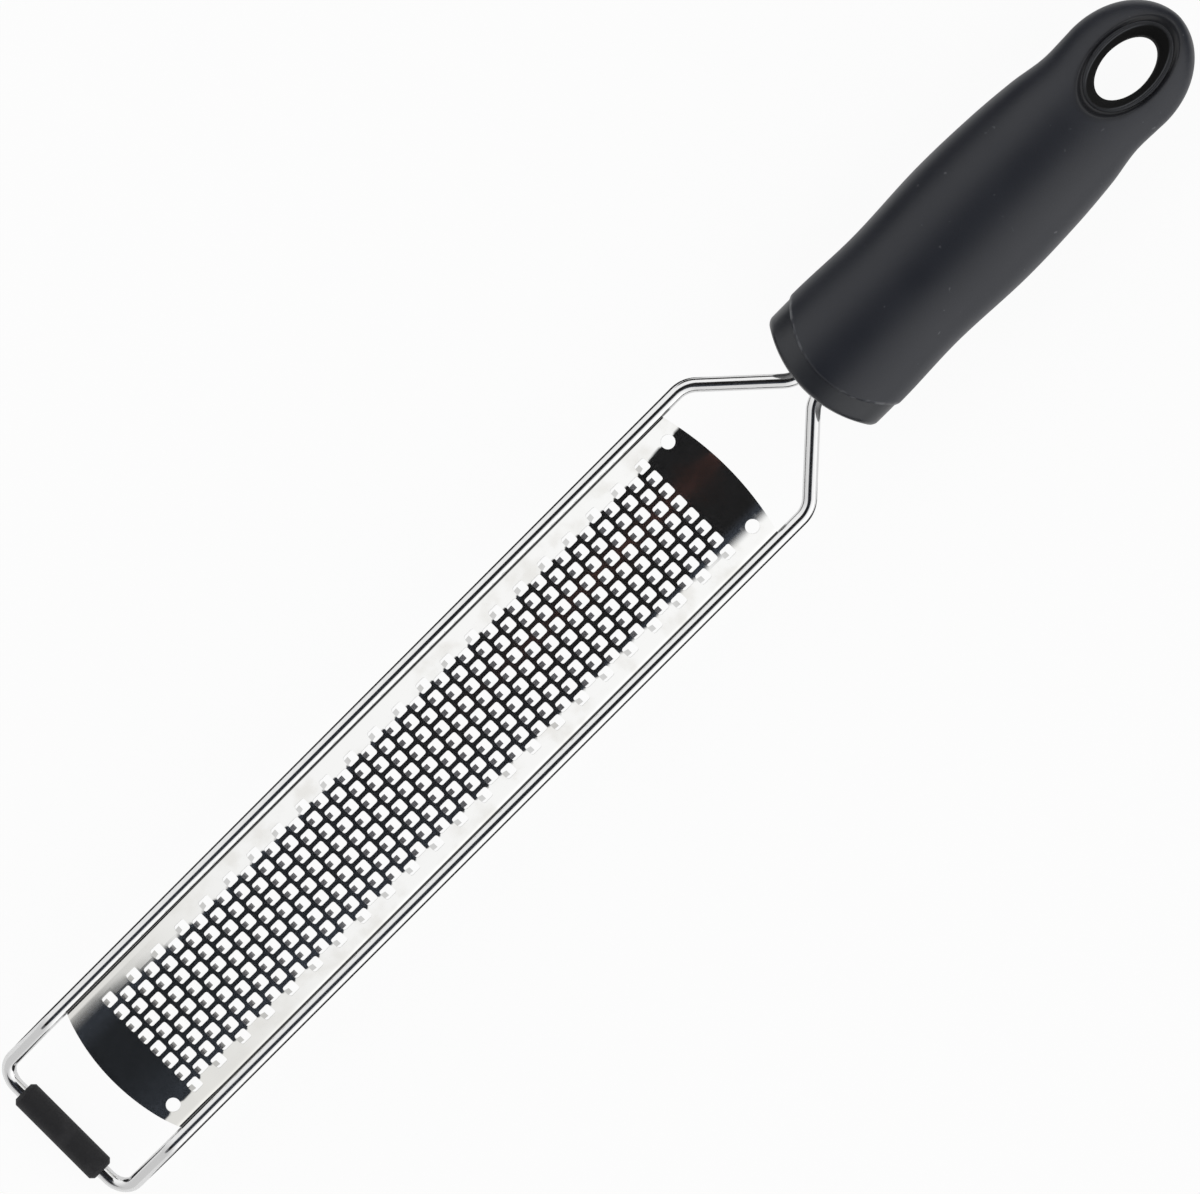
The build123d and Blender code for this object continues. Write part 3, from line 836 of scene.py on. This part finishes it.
# Floor, studio and camera. A white floor in white surroundings, with a dark card
# overhead that the flat of the blade and the crest of the wire mirror. Dark strips
# beside the rails and two flags by the handle are seen in mirrors and gloss only.
floor_white, seen_share, mirrored_share = "#F4F4F4", 0.94, 0.6
card_black, card_blue, card_lit, card_brown = "#0F0F11", "#1D2229", "#363C46", "#5E362C"
card_grey, strip_black = "#67676B", "#0C0C0D"
card_height, card_half_width, card_length, card_reach = 3.0, 1.62, 6.5, 2.4
narrow_fade, wide_fade, end_fade, brown_line = 0.28, 0.9, 2.0, 0.005


def make_stage(name, corners, material, mirrored_only=True):
    """A four-cornered sheet, usually seen in mirrors only."""
    mesh = bpy.data.meshes.new(name)
    mesh.from_pydata(corners, [], [(0, 1, 2, 3)])
    mesh.materials.append(material)
    sheet_object = bpy.data.objects.new(name, mesh)
    sheet_object.visible_camera = not mirrored_only
    bpy.context.scene.collection.objects.link(sheet_object)
    return sheet_object


floor_material, floor_tree, floor_shader, _ = new_material("white_studio_floor")
floor_shader.inputs["Base Color"].default_value = to_linear(floor_white)
floor_shader.inputs["Roughness"].default_value = 0.9
ray = floor_tree.nodes.new("ShaderNodeLightPath")
mirrored = add_node(floor_tree, "ShaderNodeMath", multiply, {1: mirrored_share},
                    {0: ray.outputs["Is Glossy Ray"]})
share = add_node(floor_tree, "ShaderNodeMath", {"operation": "MULTIPLY_ADD"}, {1: seen_share},
                 {0: ray.outputs["Is Camera Ray"], 2: mirrored.outputs[0]})
backdrop = add_node(floor_tree, "ShaderNodeEmission",
                    values={"Color": (1, 1, 1, 1), "Strength": 1.0})
shown = add_node(floor_tree, "ShaderNodeMixShader",
                 links={0: share.outputs[0], 1: floor_shader.outputs[0], 2: backdrop.outputs[0]})
floor_tree.links.new(shown.outputs[0], floor_tree.nodes["Material Output"].inputs["Surface"])
floor_corners = [(-40, -40, 0), (40, -40, 0), (40, 40, 0), (-40, 40, 0)]
make_stage("studio_floor", floor_corners, floor_material, mirrored_only=False)

# The card is black, bluish over the tip and paler to both sides there, paler on the -Y
# side over the handle, brown on a line in its middle there, and grey beyond the tip.
card_material, card_tree, card_shader, card_place = new_material("dark_studio_card")
apart = add_node(card_tree, "ShaderNodeSeparateXYZ", links={0: card_place})
aside = add_node(card_tree, "ShaderNodeMath", absolute, links={0: apart.outputs[1]})
off_line = add_node(card_tree, "ShaderNodeMath", {"operation": "SUBTRACT"}, {1: brown_line},
                    {0: apart.outputs[1]})
off_line = add_node(card_tree, "ShaderNodeMath", absolute, links={0: off_line.outputs[0]})
crisp, soft = card_half_width - narrow_fade, card_half_width - wide_fade
card_steps = {"before_tip": (0, {1: -0.1, 2: -0.7}), "near_tip": (0, {1: -2.2, 2: -1.0}),
              "left": (1, {1: 0.01, 2: 0.7}), "right": (1, {1: -0.01, 2: -0.06}),
              "far_right": (1, {1: -0.05, 2: -0.8}), "at_handle": (0, {1: -0.35, 2: -0.1}),
              "past_middle": (0, {1: -0.4, 2: 0.0}), "beyond_tip": (0, {1: -2.6, 2: -3.6}),
              "either_side": (1, {1: -0.05, 2: 0.05}),
              "right_edge": (0, {1: -0.35, 2: -0.1, 3: crisp, 4: soft}),
              "left_edge": (0, {1: -0.45, 2: -0.62, 3: crisp, 4: soft}),
              "end": (0, {1: end_fade - card_length, 2: -card_length})}
step = {name: add_node(card_tree, "ShaderNodeMapRange", smooth_step, limits,
                       {0: apart.outputs[axis]}).outputs[0]
        for name, (axis, limits) in card_steps.items()}
bluish = add_node(card_tree, "ShaderNodeMath", multiply,
                  links={0: step["before_tip"], 1: step["near_tip"]})
tint = add_node(card_tree, "ShaderNodeMix", mix_colours,
                {6: to_linear(card_black), 7: to_linear(card_blue)}, {0: bluish.outputs[0]})
lit_tip = add_node(card_tree, "ShaderNodeMath", {"operation": "MAXIMUM"},
                   links={0: step["left"], 1: step["right"]})
lit_tip = add_node(card_tree, "ShaderNodeMath", multiply,
                   links={0: bluish.outputs[0], 1: lit_tip.outputs[0]})
lit_side = add_node(card_tree, "ShaderNodeMath", multiply,
                    links={0: step["far_right"], 1: step["at_handle"]})
lit = add_node(card_tree, "ShaderNodeMath", {"operation": "MAXIMUM"},
               links={0: lit_tip.outputs[0], 1: lit_side.outputs[0]})
near_line = add_node(card_tree, "ShaderNodeMapRange", smooth_step, {1: 0.005, 2: 0.0005},
                     {0: off_line.outputs[0]})
on_line = add_node(card_tree, "ShaderNodeMath", multiply,
                   links={0: near_line.outputs[0], 1: step["past_middle"]})
for colour, share in ((card_lit, lit.outputs[0]), (card_brown, on_line.outputs[0]),
                      (card_grey, step["beyond_tip"])):
    tint = add_node(card_tree, "ShaderNodeMix", mix_colours, {7: to_linear(colour)},
                    {0: share, 6: tint.outputs[2]})
softness = add_node(card_tree, "ShaderNodeMix", {"data_type": "FLOAT"},
                    links={0: step["either_side"], 2: step["right_edge"], 3: step["left_edge"]})
side_fade = add_node(card_tree, "ShaderNodeMapRange", smooth_step, {2: card_half_width},
                     {0: aside.outputs[0], 1: softness.outputs[0]})
fade = add_node(card_tree, "ShaderNodeMath", {"operation": "MAXIMUM"},
                links={0: side_fade.outputs[0], 1: step["end"]})
clear = card_tree.nodes.new("ShaderNodeBsdfTransparent")
faded = add_node(card_tree, "ShaderNodeMixShader",
                 links={0: fade.outputs[0], 1: card_shader.outputs[0], 2: clear.outputs[0]})
card_tree.links.new(tint.outputs[2], card_shader.inputs["Base Color"])
card_tree.links.new(faded.outputs[0], card_tree.nodes["Material Output"].inputs["Surface"])
card_shader.inputs["Roughness"].default_value = 0.9
card_corners = [(-card_length, -card_half_width, card_height),
                (card_reach, -card_half_width, card_height),
                (card_reach, card_half_width, card_height),
                (-card_length, card_half_width, card_height)]
make_stage("overhead_card", card_corners, card_material)

strip_material, _, strip_shader, _ = new_material("dark_floor_strip")
strip_shader.inputs["Base Color"].default_value = to_linear(strip_black)
strip_shader.inputs["Roughness"].default_value = 0.9
dark_cards = {"left_strip": [(-152, 21, 0.5), (50, 21, 0.5), (50, 80, 0.5), (-152, 80, 0.5)],
              "right_strip": [(-152, -80, 0.5), (50, -80, 0.5), (50, -21, 0.5), (-152, -21, 0.5)],
              "side_flag": [(52, 45, 0.5), (260, 45, 0.5), (260, 260, 85), (52, 260, 85)],
              "end_flag": [(190, 260, 0.5), (190, -90, 0.5), (400, -160, 85), (400, 260, 85)]}
for name, corners in dark_cards.items():
    in_metres = [tuple(v * mm for v in corner) for corner in corners]
    dark_card = make_stage(name, in_metres, strip_material)
    dark_card.visible_diffuse = dark_card.visible_shadow = False

# The white surroundings are dimmer beyond the tip and brighter beyond the -Y side.
world = bpy.data.worlds.new("white_studio")
bpy.context.scene.world = world
world.use_nodes = True
sky_tree = world.node_tree
around_sky = sky_tree.nodes.new("ShaderNodeTexCoord")
sky_apart = add_node(sky_tree, "ShaderNodeSeparateXYZ", links={0: around_sky.outputs["Generated"]})
sky_tree.nodes["Background"].inputs["Color"].default_value = (1, 1, 1, 1)
dimmer = add_node(sky_tree, "ShaderNodeMapRange", smooth_step,
                  {1: -0.9, 2: 0.1, 3: 0.68, 4: 1.05}, {0: sky_apart.outputs[0]})
brighter = add_node(sky_tree, "ShaderNodeMapRange", smooth_step,
                    {1: -0.95, 2: -0.5, 3: 1.25}, {0: sky_apart.outputs[1]})
sky_level = add_node(sky_tree, "ShaderNodeMath", multiply,
                     links={0: dimmer.outputs[0], 1: brighter.outputs[0]})
sky_tree.links.new(sky_level.outputs[0], sky_tree.nodes["Background"].inputs["Strength"])
bpy.context.scene.view_settings.view_transform = "Standard"

# The camera looks down from 1 m, turned 45 degrees. Its place, slight tilt and lens
# are fitted to the photo.
camera_place = (0.048536, 0.002378, 1.0)
camera_tilt = (0.002788, 0.051668, 0.0)
camera_lens, film_width = 148.854, 36
camera = bpy.data.objects.new("camera", bpy.data.cameras.new("camera"))
bpy.context.scene.collection.objects.link(camera)
bpy.context.scene.camera = camera
tilt = Vector(camera_tilt)
looking_down = Matrix(((1, 0, 0), (0, -1, 0), (0, 0, -1)))
to_diagonal = Matrix.Rotation(radians(-45), 3, "Z")
seen = to_diagonal @ Matrix.Rotation(tilt.length, 3, tilt.normalized()) @ looking_down
axes = (looking_down @ seen).transposed()
camera.matrix_world = Matrix.Translation(camera_place) @ axes.to_4x4()
camera.data.sensor_width = film_width
camera.data.lens = camera_lens
camera.data.clip_end = 20
